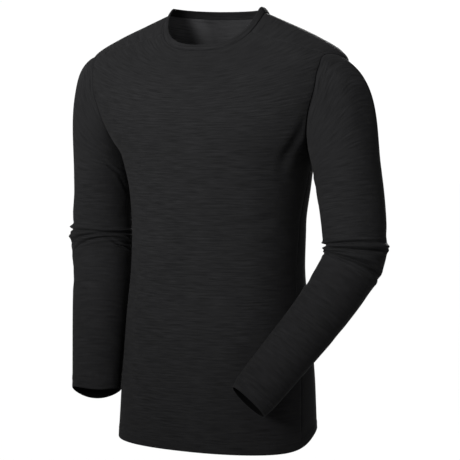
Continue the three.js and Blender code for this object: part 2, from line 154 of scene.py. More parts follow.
# Sleeve sections below the cap: centre, half size outwards from the body, half size back to front.
ARM_COLUMNS = "x y z across deep"
LEFT_ARM = (
    (231, -6, -262, 53, 50),
    (239, -10, -300, 52, 48),
    (246.5, -16, -345, 50.5, 47),
    (250.5, -22, -385, 48.5, 46),
    (236, -36, -423, 45, 45),
    (207, -61, -476, 42.5, 41),
    (165.6, -96.8, -540.8, 41, 35),
    (134, -122.5, -589, 39.3, 30),
    (123.7, -131.8, -605.8, 35.8, 26),
)
RIGHT_ARM = (
    (-213, 2, -262, 47, 54),
    (-215, 6, -300, 48, 52.5),
    (-219, 9.5, -345, 50.7, 51.2),
    (-219, 9, -385, 52.5, 52),
    (-214, 1.5, -425, 49.5, 48.5),
    (-210.3, -11.4, -480, 47.8, 45.8),
    (-204.2, -29.2, -551, 44.5, 41.5),
    (-198.4, -46.4, -615, 41.2, 36),
)
# A sleeve's cap leaves the shoulder outwards and down, and bends into the arm under two pulls.
LEFT_CAP = dict(outward=0.89, down=0.46, start_pull=1.2, end_pull=1)
RIGHT_CAP = dict(outward=0.9, down=0.43, start_pull=1, end_pull=1.1)
# The armhole's top leads to this angle round the arm, and the cap counts as this long.
CAP_TURN = 18
CAP_LENGTH = 150
# A cuff's edge dips on two opposite sides and is cut at a tilt. Both fade out up the forearm.
CUFF_FADE = 60
LEFT_CUFF = dict(dip=1, dip_turn=62, tilt=4.8, tilt_turn=293)
RIGHT_CUFF = dict(dip=9.5, dip_turn=118, tilt=2.5, tilt_turn=298)

# Creases on a sleeve. "at" is the distance down the arm from the end of the cap, "turn" the middle
# of the crease round the sleeve (0 away from the body, 90 in front), "reach" how far it runs either
# way, in degrees. "slant" and "bow" carry its ends further down the arm.
SLEEVE_CREASE_COLUMNS = "at turn reach slant bow width depth"
LEFT_CREASES = Table(
    SLEEVE_CREASE_COLUMNS,
    # the bend in front of the elbow
    (109.3, 104, 122, -2.5, -3, 2.5, 5.4),
    (121.8, 66, 160, -5.3, -33, 2.8, 6),
    (137, 60, 124, 4, 17, 2.9, 7.4),
    (129, 100, 50, 5, 12, 2.6, 1.6),
    # ridges: a slanting fold above it, and the tip of the fold on the outside
    (101.3, 38, 36, -9.8, 0, 4.2, -1.8),
    (114.4, -14, 44, -1, 0, 3.2, -3.6),
    (115, -20, 60, 0, 0, 9, -2.2),
    # behind the elbow
    (98, 226, 52, 3, -3, 5, 1.8),
    (119, 244, 70, 4, 5, 4.6, 2.6),
    (135, 256, 56, -3, 4, 5, 2.2),
    # the draw towards the underarm
    (-4, 146, 24, 26, 0, 4.5, 2.2),
    (16, 156, 22, 34, 6, 5.5, 1.6),
    (-30, 212, 30, -24, 0, 6, 2),
    (8, 222, 28, -30, 5, 7, 1.6),
    # the forearm, almost smooth
    (196, 130, 60, 12, 8, 9, 1),
    (248, 285, 70, -14, 6, 10, 1),
    (290, 70, 55, 9, 5, 9, 0.8),
    (340, 200, 60, 10, 5, 8, 0.9),
)
RIGHT_CREASES = Table(
    SLEEVE_CREASE_COLUMNS,
    (99.2, 118, 165, 6.5, 7.5, 2.4, 5.4),
    (102.6, 122, 165, -2, 60, 2.4, 5.4),
    (108.6, 122, 118, -9, 56, 2.6, 4.8),
    (135, 178, 68, 31, -9, 3, 4.6),
    (124, 190, 50, 13, 0, 2.6, 4),
    # the swelling of the folds on the outside of the elbow, and its rolls
    (106, 38, 74, 0, 0, 12, -3),
    (93.5, 30, 56, 2, 0, 3.6, -2.6),
    (110, 34, 44, -4, 6, 3.4, -2.4),
    # behind the elbow
    (97, 290, 74, -4, 5, 5, 2.8),
    (112, 276, 56, 3, 5, 5.2, 2.2),
    (80, 305, 46, -2, -3, 6, 1.5),
    # the draw towards the underarm
    (-12, 150, 28, 30, 0, 6, 2),
    (10, 160, 24, 34, 6, 6, 1.4),
    (-28, 214, 30, -24, 0, 6, 2),
    (12, 224, 30, -28, 5, 7, 1.5),
    # the forearm, almost smooth
    (190, 60, 60, 12, 8, 9, 0.9),
    (238, 250, 66, -12, 6, 10, 1),
    (286, 120, 55, 8, 5, 9, 0.8),
    (352, 60, 44, 5, 4, 4, 1.1),
)

# Creases on the body: its middle as an angle and a distance up, "tilt" from level in degrees,
# half its length, how far it bends, its width and its depth.
TORSO_CREASES = Table(
    "angle up tilt half_length bend width depth",
    # the chest pulling in beside each armhole, and the draw towards the underarms
    (-26, 496, 84, 76, 3, 9, 2.2),
    (-156, 508, 97, 40, -3, 4.6, 1.8),
    (-31, 470, 38, 40, 6, 14, 0.8),
    (-150, 470, -36, 40, -6, 14, 0.8),
    # the front, almost smooth
    (-139, 250, 84, 120, 10, 17, 2.6),
    (-112, 150, 96, 110, -8, 20, 1.3),
    (-58, 300, 97, 120, 10, 18, 1.6),
    (-76, 560, 12, 70, 8, 16, 1),
    (-122, 350, -12, 52, -7, 11, 1.2),
    (-46, 366, 10, 50, 7, 10, 1.4),
    (-92, 96, 88, 66, 6, 18, 1.1),
    (-36, 120, 84, 80, -8, 15, 1.7),
    (-150, 96, 94, 76, 8, 15, 1.5),
    # the back, which gathers a little at the waist and between the shoulders
    (72, 356, 7, 62, -8, 8, 2.4),
    (108, 338, -6, 66, -9, 8.5, 2.2),
    (90, 318, 2, 54, -6, 9, 1.6),
    (52, 330, 16, 40, -6, 8, 1.8),
    (127, 358, -15, 38, -6, 8, 1.7),
    (90, 470, 92, 110, 4, 18, 1.8),
    (62, 520, 64, 70, 8, 12, 1.8),
    (119, 514, -63, 66, -8, 12, 1.7),
    (38, 488, 40, 40, 6, 7, 1.9),
    (143, 484, -42, 40, -6, 7, 1.8),
    (74, 150, 95, 96, 8, 18, 1.6),
    (110, 138, 85, 90, -8, 18, 1.5),
    (36, 210, 82, 80, 6, 14, 1.8),
    (147, 220, 99, 78, -6, 14, 1.7),
    (66, 610, 22, 46, 5, 10, 1),
    (116, 606, -24, 44, -5, 10, 1),
)
# Millimetres round the torso for each degree, and the low ridges beside a crease: their height as a
# share of its depth, and how many of its widths they lie off its middle.
SURFACE_PER_DEGREE = 2.3
CREASE_RIDGE = 0.42
CREASE_RIDGE_AT = 1.75
# The body's creases fade out this near the armholes and the neck seam.
CREASE_FADE = 6

# The cloth dips where it is sewn, and its hems are turned up and sewn with two needles.
SEAM_DIP = 0.5
FLAT_SEAM_DIP = 0.25
SEAM_DIP_WIDTH = 3.4
# How much farther the flat side and shoulder seams count as being, so that they show less.
FLAT_SEAM_AWAY = 1.15
HEM_DEPTH = 18
HEM_SWELL = 0.35
HEM_STEP_WIDTH = 1.2
NEEDLE_ROWS = (14.2, 18)
# The puckers are three waves along the hem, strongest between the needle rows. Those of a cuff count
# the sleeve's girth.
PUCKER_DEPTH = 0.14
PUCKER_WAVES = Table("length start height", (1.9, 0, 1), (3.1, 1.3, 0.7), (7.7, 0, 0.6))
PUCKER_AT = 16
PUCKER_REACH = 5
SLEEVE_GIRTH = 260

# A row's stitches: from one to the next, length, radius, how far they lie off the cloth, and their
# rings of points, each with its place as a share of the length and its size as a share of the
# radius. A stitch aims at the place on its row this far ahead of its middle.
STITCH_STEP = 2.7
STITCH_LENGTH = 2
STITCH_RADIUS = 0.24
STITCH_LIFT = 0.05
STITCH_RINGS = ((-0.5, 0.25), (-0.36, 1), (0.36, 1), (0.5, 0.25))
STITCH_SIDES = 6
STITCH_AIM = 0.6

# How much the inside's colour is scaled beside the outside's: painted light on the inside at the neck,
# fading to painted shade deep inside the body, and painted shade inside the sleeves and the binding.
NECK_PAINTED_LIGHT = 2.2
NECK_PAINTED_LIGHT_FADE = 190
BODY_INSIDE_PAINTED_SHADE = 0.6
SLEEVE_INSIDE_PAINTED_SHADE = 0.1
BINDING_INSIDE_PAINTED_SHADE = 0.85
# Painted light on the neck's inside is stronger still on the wearer's right, where less light falls: by how
# much, how far from the middle that begins, how far it takes to grow, and how slowly it starts.
SHADED_SIDE_PAINTED_LIGHT = 7
SHADE_START = 45
SHADE_WIDTH = 50
SHADE_POWER = 1.5

# Black jersey, its sizes in metres. The knit's columns are wales and its rows are courses. Slubby
# yarn makes the streaks. A noise's scale counts its marks in a metre, across and along the cloth.
WALE = 0.00075
COURSE = 0.00055
DARK_YARN = (0.0022, 0.0022, 0.0023, 1)
LIGHT_YARN = (0.0047, 0.0047, 0.0049, 1)
SEAM_YARN = (0.0018, 0.0018, 0.002, 1)
DARKEST_TONE = 0.42
LIGHTEST_TONE = 0.74
STREAKS = dict(scale=(26, 380, 1), detail=3, roughness=0.6)
FINE_STREAKS = dict(scale=(48, 620, 1), detail=2, roughness=0.5)
CLOUDS = dict(scale=(9, 9, 9), detail=2, roughness=0.5)
STREAKS_SHARE = 0.7
FINE_STREAKS_SHARE = 0.35
CLOUDS_SHARE = 0.12
# The dark line of a seam is full within the first distance from it and gone at the second, in mm.
GROOVE_FADE = (0.35, 1.5)
GROOVE_DARKENS = 0.4
GROOVE_DEPTH = 0.9
BINDING_GROOVE = 1.2
LOOP_HEIGHT = 0.25
STREAK_HEIGHT = 1.1
KNIT_BUMP = dict(strength=0.45, distance=0.0005)
KNIT_ROUGHNESS = 0.78
STREAK_ROUGHNESS = 0.16
KNIT_SHINE = 0.01
KNIT_SHEEN = 0.005
SHEEN_ROUGHNESS = 0.5

DARK_THREAD = (0.0028, 0.0028, 0.003, 1)
LIGHT_THREAD = (0.0085, 0.0085, 0.009, 1)
THREAD_TWIST = dict(scale=(2600, 2600, 2600), detail=1, roughness=0.5)
THREAD_BUMP = dict(strength=0.3, distance=0.0002)
THREAD_ROUGHNESS = 0.8
THREAD_SHINE = 0.05

# The camera stands where the photograph was taken from, and aims a little to the right of the top's
# middle. Its sizes are in metres, and so are those of the floor and the lights; the sensor's is in
# millimetres and the angles are in degrees.
CAMERA_AZIMUTH = 28
CAMERA_ELEVATION = 3.5
CAMERA_DISTANCE = 3.3
CAMERA_TARGET = Vector((0, 0, -0.355))
CAMERA_ASIDE = 0.02
CAMERA_ABOVE = 0.001
CAMERA_REACH = 60
SENSOR_WIDTH = 36
PIXELS_ACROSS = 460
METRES_PER_PIXEL = 0.0016

FLOOR_BELOW = -1.45
FLOOR_HALF = 30
FLOOR_PARTS = 4
FLOOR_COLOUR = (0.98, 0.98, 0.98, 1)

STUDIO_COLOUR = (1, 1, 1, 1)
STUDIO_STRENGTH = 1.03
SOFTBOX_SIZE = 1.3
SOFTBOXES = (
    dict(name="key", place=(-0.4, -2.2, 0.6), target=(-0.05, 0, 0.01), power=23.5, spread=32),
    dict(name="rear_key", place=(-0.75, 2.2, 0.4), target=(0, 0, -0.15), power=20, spread=38),
)

# Rows of the panels below, beside and above the armholes, and their columns. Left alone, the inner
# columns would reach the span, in degrees; the outer ones bend to the edge and lie a bit closer.
LOWER_ROWS = 132
ARMHOLE_ROWS = 66
SHOULDER_ROWS = 44
FRONT_COLUMNS = 132
BACK_COLUMNS = 140
COLUMN_SPAN = 78
EDGE_CLOSER = 0.06
# Rows of a sleeve's cap, and of its arm above, at and below the elbow, which lies between two places.
CAP_ROWS = 56
ARM_ROWS = (30, 106, 96)
ELBOW = (80, 165)
SLEEVE_COLUMNS = 112
BINDING_ROWS = 12
BINDING_COLUMNS = 260
RIM_STEPS = 4
# Points along the lines from which distances are measured, and along which stitches are laid.
TORSO_SEAM_POINTS = 700
SHOULDER_SEAM_POINTS = 233
ARMHOLE_POINTS = 1400
UNDERARM_POINTS = 900
HEM_PATH_POINTS = 720
CUFF_PATH_POINTS = 360


def soft_rise(depth, ridge):
    """Rises from 0 at the shoulder line to 1 on the centre plane."""
    return (np.hypot(depth, ridge) - ridge) / (np.hypot(1, ridge) - ridge)


def ring_point(ring, angle):
    """Points on a ring, which is a dict of its sizes, at angles in radians."""
    across = np.cos(angle)
    ahead = np.sin(angle)
    square = np.where(ahead < 0, ring["front_square"], ring["back_square"])
    swell = (np.abs(across) ** square + np.abs(ahead) ** square) ** (-1 / square)
    depth = ahead * swell
    lift = soft_rise(depth, ring["ridge"])
    centre_depth = np.where(depth < 0, ring["front_depth"], ring["back_depth"])
    centre_z = np.where(depth < 0, ring["front_z"], ring["back_z"])
    x = ring["centre_x"] + ring["half_width"] * across * swell
    y = ring["centre_y"] + centre_depth * depth
    z = ring["side_z"] + (centre_z - ring["side_z"]) * lift
    return np.stack([x, y, z], axis=-1)


def hem_scoop(angle, up):
    """How much higher than level the hem is cut, fading out above it."""
    fade = np.maximum(0, 1 - up / HEM_SCOOP["fade_up"])
    side_angle = np.arctan2(np.sin(angle), np.abs(np.cos(angle))) / DEGREES
    away = (side_angle - HEM_SCOOP["angle"]) / HEM_SCOOP["spread"]
    lean = -HEM_SCOOP["lean"] * TORSO_RINGS.first("half_width") * np.cos(angle)
    return (HEM_SCOOP["rise"] * np.exp(-away * away) + lean) * fade * fade


def torso_point(angle, up):
    """The smooth outer face of the torso, without creases."""
    ring = {name: TORSO_RINGS.read(name, up) for name in TORSO_RINGS.columns if name != "up"}
    point = ring_point(ring, angle)
    point[..., 2] += hem_scoop(angle, up)
    return point


def unit(vectors):
    return vectors / np.maximum(np.linalg.norm(vectors, axis=-1, keepdims=True), TINY)


def torso_across(angle, up):
    """How far the face moves for each radian round it."""
    step = 0.4 * DEGREES
    return (torso_point(angle + step, up) - torso_point(angle - step, up)) / (2 * step)


def torso_normal(angle, up):
    """The outward direction of the smooth face."""
    step = 2
    rise = torso_point(angle, np.minimum(up + step, NECK_UP)) - torso_point(angle, np.maximum(up - step, 0))
    return unit(np.cross(torso_across(angle, up), rise))


def trough(off):
    """A soft valley between two low ridges, for a distance off its middle in widths."""
    ridges = np.exp(-((off - CREASE_RIDGE_AT) ** 2)) + np.exp(-((off + CREASE_RIDGE_AT) ** 2))
    return CREASE_RIDGE * ridges - np.exp(-off * off)


def turned_by(angle, middle):
    """The angle from the middle one, in degrees between -180 and 180."""
    return np.mod(angle / DEGREES - middle + 180, 360) - 180


def torso_relief(angle, up):
    """How far creases, the hem's fold and its stitching move the cloth out."""
    relief = np.zeros(np.broadcast(angle, up).shape)
    for crease in TORSO_CREASES.rows():
        aside = turned_by(angle, crease["angle"]) * SURFACE_PER_DEGREE
        above = up - crease["up"]
        cos, sin = math.cos(crease["tilt"] * DEGREES), math.sin(crease["tilt"] * DEGREES)
        along = (aside * cos + above * sin) / crease["half_length"]
        off = (above * cos - aside * sin - crease["bend"] * along * along) / crease["width"]
        strength = crease["depth"] * np.maximum(0, 1 - along * along) ** 2
        relief += strength * trough(off)
    return relief + hem_relief(up, angle / DEGREES * SURFACE_PER_DEGREE)


def hem_relief(from_edge, round_edge):
    """The turned hem stands out a little, and puckers unevenly between its stitches."""
    swell = HEM_SWELL * (0.5 - 0.5 * np.tanh((from_edge - HEM_DEPTH) / HEM_STEP_WIDTH))
    waves = np.zeros(np.shape(round_edge))
    for wave in PUCKER_WAVES.rows():
        waves += wave["height"] * np.sin(round_edge / wave["length"] + wave["start"])
    near_needles = np.exp(-(((from_edge - PUCKER_AT) / PUCKER_REACH) ** 2))
    return swell + PUCKER_DEPTH * waves * near_needles


def armhole_stop(turn):
    """The armhole's front and back angles and its distance up; turn runs from 0 below to pi above."""
    turn = turn + END_STRETCH * np.sin(2 * turn)
    climb = (1 - np.cos(turn)) / 2
    bottom, top = SIDE_SEAM.last("angle"), SHOULDER_SEAM.first("angle")
    middle = bottom + (top - bottom) * climb
    opening = np.sin(turn) * (1 + WIDER_BELOW * np.cos(turn))
    front = (middle - FRONT_SPREAD * opening) * DEGREES
    back = (middle + BACK_SPREAD * opening) * DEGREES
    return front, back, UNDERARM_UP + (SHOULDER_UP - UNDERARM_UP) * climb


def panel_rows():
    """The distances up of a panel's rows, with the angles of its front and back edges."""
    low = np.linspace(0, UNDERARM_UP, LOWER_ROWS, endpoint=False)
    high = np.linspace(SHOULDER_UP, NECK_UP, SHOULDER_ROWS)
    turns = np.pi * np.arange(ARMHOLE_ROWS) / ARMHOLE_ROWS
    front, back, middle_up = armhole_stop(turns)
    side = SIDE_SEAM.read("angle", low) * DEGREES
    shoulder = SHOULDER_SEAM.read("angle", high) * DEGREES
    up = np.concatenate([low, middle_up, high])
    fronts = np.concatenate([side, front, shoulder])
    backs = np.concatenate([side, back, shoulder])
    shift = SEAM_GAP / 2 / np.linalg.norm(torso_across(fronts, up), axis=-1)
    seamed = np.concatenate([np.ones(LOWER_ROWS), np.zeros(ARMHOLE_ROWS), np.ones(SHOULDER_ROWS)])
    return up, fronts - shift * seamed, backs + shift * seamed


def seam_lines():
    """Points close together along the torso's armhole and neck seams, and along its flatter ones."""
    round_holes = []
    flat = []
    low = np.linspace(0, UNDERARM_UP, TORSO_SEAM_POINTS)
    high = np.linspace(SHOULDER_UP, NECK_UP, SHOULDER_SEAM_POINTS)
    side = SIDE_SEAM.read("angle", low) * DEGREES
    shoulder = SHOULDER_SEAM.read("angle", high) * DEGREES
    front, back, up = armhole_stop(np.linspace(0, np.pi, TORSO_SEAM_POINTS))
    seams = ((round_holes, front, up), (round_holes, back, up), (flat, side, low), (flat, shoulder, high))
    for lines, angle, distance_up in seams:
        lines.append(torso_point(angle, distance_up))
        lines.append(torso_point(np.pi - angle, distance_up))
    neck = np.linspace(0, 2 * np.pi, TORSO_SEAM_POINTS)
    round_holes.append(torso_point(neck, np.full(neck.shape, NECK_UP)))
    return np.concatenate(round_holes), np.concatenate(flat)


def distances(points, line):
    """How far each point is from the nearest point of a line."""
    tree = kdtree.KDTree(len(line))
    for i, point in enumerate(line):
        tree.insert(point, i)
    tree.balance()
    flat = points.reshape(-1, 3)
    found = np.array([tree.find(point)[2] for point in flat])
    return found.reshape(points.shape[:-1])


def seam_dip(distance, depth=SEAM_DIP):
    """How far the cloth sinks near a seam, as a move outwards."""
    return -depth * np.exp(-((distance / SEAM_DIP_WIDTH) ** 2))


def row_lengths(points):
    """The distance along each row from its first point."""
    steps = np.linalg.norm(np.diff(points, axis=1), axis=-1)
    return np.concatenate([np.zeros((len(points), 1)), np.cumsum(steps, axis=1)], axis=1)


def closed_lengths(points):
    """The distance along each closed row from its first point, until it comes back there."""
    return row_lengths(np.concatenate([points, points[:, :1]], axis=1))


def rim(outer_edge, inner_edge, beyond):
    """Rows round a rounded edge, from the outer face to the inner one."""
    middle = (outer_edge + inner_edge) / 2
    half = (outer_edge - inner_edge) / 2
    size = np.linalg.norm(half, axis=-1, keepdims=True)
    turns = np.pi * np.arange(1, RIM_STEPS) / RIM_STEPS
    return [middle + half * math.cos(t) + unit(beyond) * size * math.sin(t) for t in turns]


def shell(name, outer, normals, wall, seam_mm, painted_inside_shading, across_mm, along_mm, round_closed, material):
    """A thin closed shell from a grid of outer points, with rounded edges at its first and last rows.

    The inner face's colour is scaled beside the outer one by painted light and shade. A row that is
    closed round has one more place in across_mm and along_mm, where it meets itself again.
    """
    inner = outer - normals * wall
    last_rim = rim(outer[-1], inner[-1], outer[-1] - outer[-2])
    first_rim = rim(inner[0], outer[0], outer[0] - outer[1])
    loops = np.concatenate([outer, last_rim, inner[::-1], first_rim])

    def spread(values):
        last = [values[-1]] * len(last_rim)
        first = [values[0]] * len(first_rim)
        return np.concatenate([values, last, values[::-1], first])

    rows, columns = loops.shape[:2]
    faces_across = columns if round_closed else columns - 1
    row, column = np.meshgrid(np.arange(rows), np.arange(faces_across), indexing="ij")
    next_row = (row + 1) % rows
    corners = [(row, column), (row, column + 1), (next_row, column + 1), (next_row, column)]
    faces = np.stack([r * columns + c % columns for r, c in corners], axis=-1).reshape(-1, 4)
    flat = np.stack([spread(across_mm), spread(along_mm)], axis=-1)
    uv = np.stack([flat[r, c] for r, c in corners], axis=2).reshape(-1, 2)
    face_list = faces.tolist()
    if not round_closed:
        face_list += side_faces(len(outer), len(last_rim), rows, columns)
        ends = np.zeros((sum(len(face) for face in face_list[len(faces):]), 2))
        uv = np.concatenate([uv, ends])
    mesh = bpy.data.meshes.new(name)
    mesh.from_pydata((loops.reshape(-1, 3) * MM).tolist(), [], face_list)
    layer = mesh.uv_layers.new(name="cloth")
    layer.data.foreach_set("uv", (uv * MM).ravel())
    # The tone attribute holds painted light and shade: 1 outside, the given factor on the inner face.
    tone = np.ones(loops.shape[:2])
    inner_start = len(outer) + len(last_rim)
    tone[inner_start:inner_start + len(outer)] = np.broadcast_to(painted_inside_shading, seam_mm.shape)[::-1]
    for attribute, values in (("seam_mm", spread(seam_mm)), ("tone", tone)):
        data = mesh.attributes.new(attribute, "FLOAT", "POINT").data
        data.foreach_set("value", values.ravel())
    mesh.polygons.foreach_set("use_smooth", [True] * len(mesh.polygons))
    piece = bpy.data.objects.new(name, mesh)
    bpy.context.scene.collection.objects.link(piece)
    face_outwards(mesh)
    mesh.materials.append(material)
    return piece


def side_faces(outer_rows, rim_rows, rows, columns):
    """Faces that close a panel's two side edges, between its outer and inner rows."""
    faces = []
    inner_end = 2 * outer_rows + rim_rows - 1
    for column in (0, columns - 1):
        for i in range(outer_rows - 1):
            face = [i, i + 1, inner_end - i - 1, inner_end - i]
            faces.append([r * columns + column for r in face])
        last = list(range(outer_rows - 1, outer_rows + rim_rows + 1))
        first = list(range(inner_end, rows)) + [0]
        faces.append([r * columns + column for r in last])
        faces.append([r * columns + column for r in first])
    return faces


def face_outwards(mesh):
    """Turns all the faces the right way out."""
    made = bmesh.new()
    made.from_mesh(mesh)
    bmesh.ops.recalc_face_normals(made, faces=made.faces)
    made.to_mesh(mesh)
    made.free()


def panel(name, centre, edges, up, seams, columns, material):
    """A body panel: centre is the angle of its middle, and edges are those of its left edge, row by row."""
    half = edges - centre
    span = COLUMN_SPAN * DEGREES * np.sign(half)
    share = np.linspace(-1, 1, columns + 1)
    share = share * (1 + EDGE_CLOSER * (1 - share * share))
    angle = centre + share[None] * (span[:, None] + (half - span)[:, None] * share[None] ** 2)
    up_grid = np.broadcast_to(up[:, None], angle.shape)
    smooth = torso_point(angle, up_grid)
    normals = torso_normal(angle, up_grid)
    round_holes, flat = seams
    from_hole = distances(smooth, round_holes)
    from_flat = distances(smooth, flat)
    seam_mm = np.minimum(from_hole, from_flat + FLAT_SEAM_AWAY)
    relief = torso_relief(angle, up_grid) * np.clip(from_hole / CREASE_FADE, 0, 1)
    dips = seam_dip(from_hole) + seam_dip(from_flat, FLAT_SEAM_DIP)
    outer = smooth + normals * (relief + dips)[..., None]
    lengths = row_lengths(smooth)
    across = lengths - lengths[:, columns // 2][:, None]
    # Painted light on the inner face near the neck, stronger on the wearer's right where it lies in shade,
    # and painted shade on the inner face lower down.
    near_neck = np.clip(1 - (NECK_UP - up_grid) / NECK_PAINTED_LIGHT_FADE, 0, 1)
    shade = np.clip((-smooth[..., 0] - SHADE_START) / SHADE_WIDTH, 0, 1) ** SHADE_POWER
    at_neck = NECK_PAINTED_LIGHT * (1 + SHADED_SIDE_PAINTED_LIGHT * shade)
    painted_inside_shading = BODY_INSIDE_PAINTED_SHADE + (at_neck - BODY_INSIDE_PAINTED_SHADE) * near_neck
    return shell(name, outer, normals, CLOTH_WALL, seam_mm, painted_inside_shading, across, up_grid, False, material)


class Sleeve:
    """A sleeve as a surface over a share round the armhole, from 0 to 1, and a distance down it."""

    def __init__(self, sections, side, cap, creases, cuff):
        steps = np.linalg.norm(np.diff(np.array(sections, float)[:, :3], axis=0), axis=-1)
        at = np.concatenate([[0], np.cumsum(steps)])
        rows = [(*section, distance) for section, distance in zip(sections, at)]
        self.arm = Table(ARM_COLUMNS + " at", *rows)
        self.length = at[-1]
        self.side = side
        self.cap = cap
        self.creases = creases.rows()
        self.cuff = cuff

    def centre(self, at):
        """The middle of the arm."""
        return np.stack([self.arm.read(axis, at, "at") for axis in "xyz"], axis=-1)

    def loop(self, share):
        """The armhole's points, from the shoulder down the front and up the back."""
        turn = np.pi * np.abs(1 - 2 * share)
        front, back, up = armhole_stop(turn)
        angle = np.where(share < 0.5, front, back)
        if self.side < 0:
            angle = np.pi - angle
        return torso_point(angle, up), torso_normal(angle, up)

    def edge(self, share):
        """The cap's edge, which lies just inside the armhole."""
        step = 0.002
        point, normal = self.loop(share)
        along = self.loop(np.mod(share + step, 1))[0] - self.loop(np.mod(share - step, 1))[0]
        into_hole = unit(np.cross(normal, unit(along))) * self.side
        return point + into_hole * ARMHOLE_GAP

    def arm_point(self, at, turn):
        """The smooth face below the cap."""
        step = 4
        down = self.centre(np.minimum(at + step, self.length)) - self.centre(np.maximum(at - step, 0))
        down = unit(down)
        out = np.zeros(down.shape) + np.array([self.side, 0, 0])
        out = unit(out - down * np.sum(out * down, -1, keepdims=True))
        front = np.zeros(down.shape) + np.array([0, -1, 0])
        front = front - down * np.sum(front * down, -1, keepdims=True)
        front = unit(front - out * np.sum(front * out, -1, keepdims=True))
        near_cuff = np.maximum(0, 1 - (self.length - at) / CUFF_FADE)
        dip = self.cuff["dip"] * np.cos(turn - self.cuff["dip_turn"] * DEGREES) ** 2
        sink = (dip + self.cuff["tilt"] * np.cos(turn - self.cuff["tilt_turn"] * DEGREES)) * near_cuff**2
        across = self.arm.read("across", at, "at") * np.cos(turn)
        deep = self.arm.read("deep", at, "at") * np.sin(turn)
        return self.centre(at) + out * across[..., None] + front * deep[..., None] + down * sink[..., None]

    def point(self, at, share):
        """The smooth face; "at" is negative on the cap."""
        turn = 2 * np.pi * share + CAP_TURN * DEGREES
        on_arm = self.arm_point(np.maximum(at, 0), turn)
        start = self.edge(share)
        end = self.arm_point(np.zeros_like(turn), turn)
        chord = end - start
        reach = np.linalg.norm(chord, axis=-1, keepdims=True)
        flow = np.array([self.cap["outward"] * self.side, 0, -self.cap["down"]])
        share_of_flow = (0.5 + 0.5 * np.cos(turn))[..., None]
        start_pull = unit(unit(chord) * (1 - share_of_flow) + flow * share_of_flow)
        step = 8.0
        arm_start = self.centre(np.array([0, step]))
        arm_down = unit(arm_start[1] - arm_start[0])
        t = np.clip(1 + at / CAP_LENGTH, 0, 1)[..., None]
        first_pull = start_pull * reach * self.cap["start_pull"]
        last_pull = arm_down * reach * self.cap["end_pull"]
        on_cap = hermite(start, first_pull, end, last_pull, t)
        return np.where((at < 0)[..., None], on_cap, on_arm)

    def normal(self, at, share):
        """The outward direction of the smooth face."""
        share_step = 0.003
        down_step = 1.5
        ahead = self.point(at, np.mod(share + share_step, 1))
        across = ahead - self.point(at, np.mod(share - share_step, 1))
        low = np.minimum(at + down_step, self.length)
        high = np.maximum(at - down_step, -CAP_LENGTH)
        down = self.point(low, share) - self.point(high, share)
        return unit(np.cross(across, down)) * self.side

    def relief(self, at, share):
        """How far the creases and the cuff's turned hem move the cloth out."""
        turn = 2 * np.pi * share + CAP_TURN * DEGREES
        relief = np.zeros(at.shape)
        for crease in self.creases:
            along = turned_by(turn, crease["turn"]) / crease["reach"]
            middle = crease["at"] + crease["slant"] * along + crease["bow"] * along * along
            strength = crease["depth"] * np.maximum(0, 1 - along * along) ** 2
            relief += strength * trough((at - middle) / crease["width"])
        return relief + hem_relief(self.length - at, share * SLEEVE_GIRTH)

    def face(self, at, share):
        """Points on the creased outer face, with the smooth face's normals."""
        normal = self.normal(at, share)
        return self.point(at, share) + normal * self.relief(at, share)[..., None], normal


def sleeve_shell(name, sleeve, material):
    """A sleeve from its armhole to its cuff, with its underarm seam."""
    cap = np.linspace(-CAP_LENGTH, 0, CAP_ROWS, endpoint=False)
    stops = (0, *ELBOW, sleeve.length)
    parts = [np.linspace(*ends, rows, endpoint=False) for *ends, rows in zip(stops, stops[1:], ARM_ROWS)]
    arm = np.concatenate([*parts, [sleeve.length]])
    share = (np.arange(SLEEVE_COLUMNS) + 0.5) / SLEEVE_COLUMNS - 0.5
    at, share_grid = np.meshgrid(np.concatenate([cap, arm]), np.mod(share, 1), indexing="ij")
    outer, normals = sleeve.face(at, share_grid)
    armhole = sleeve.edge(np.linspace(0, 1, ARMHOLE_POINTS))
    below = np.linspace(-CAP_LENGTH, sleeve.length, UNDERARM_POINTS)
    underarm = sleeve.point(below, np.full(below.shape, 0.5))
    from_hole = distances(outer, armhole)
    from_flat = distances(outer, underarm)
    seam_mm = np.minimum(from_hole, from_flat + FLAT_SEAM_AWAY)
    outer = outer + normals * (seam_dip(from_hole) + seam_dip(from_flat, FLAT_SEAM_DIP))[..., None]
    across = closed_lengths(outer)
    along = np.broadcast_to(-at[:, :1], across.shape)
    return shell(name, outer, normals, CLOTH_WALL, seam_mm, SLEEVE_INSIDE_PAINTED_SHADE, across, along, True, material)


def binding_shell(name, material):
    """The neck binding, a folded band that stands on the neck seam and leans in."""
    foot_ring = {column: TORSO_RINGS.last(column) for column in TORSO_RINGS.columns}
    angle = 2 * np.pi * np.arange(BINDING_COLUMNS) / BINDING_COLUMNS
    foot = ring_point(foot_ring, angle)
    top = ring_point(BINDING_TOP, angle)
    rise = top - foot
    flat_across = [-np.sin(angle) * foot_ring["half_width"], np.cos(angle) * foot_ring["front_depth"]]
    across = np.stack([*flat_across, np.zeros(angle.shape)], axis=-1)
    normal = unit(np.cross(across, rise))
    height = np.linalg.norm(rise, axis=-1)
    start = (NECK_GAP / height)[None]
    climb = start + (1 - start) * np.linspace(0, BINDING_TO_RIM, BINDING_ROWS)[:, None]
    roll = BINDING_ROLL * (np.sin(np.pi * climb) - 0.5)
    waves = BINDING_WAVE_HEIGHT * sum(np.sin(count * angle + begin) for count, begin in BINDING_WAVES)
    out = BINDING_OUT + roll + waves * np.exp(-(((climb - BINDING_WAVE_AT) / BINDING_WAVE_REACH) ** 2))
    outer = foot + rise * climb[..., None] + normal * out[..., None]
    normals = np.broadcast_to(normal, outer.shape)
    seam_mm = climb * height
    lengths = closed_lengths(outer)
    along = np.concatenate([seam_mm, seam_mm[:, :1]], axis=1)
    return shell(
        name, outer, normals, BINDING_WALL, seam_mm, BINDING_INSIDE_PAINTED_SHADE, lengths, along, True, material
    )


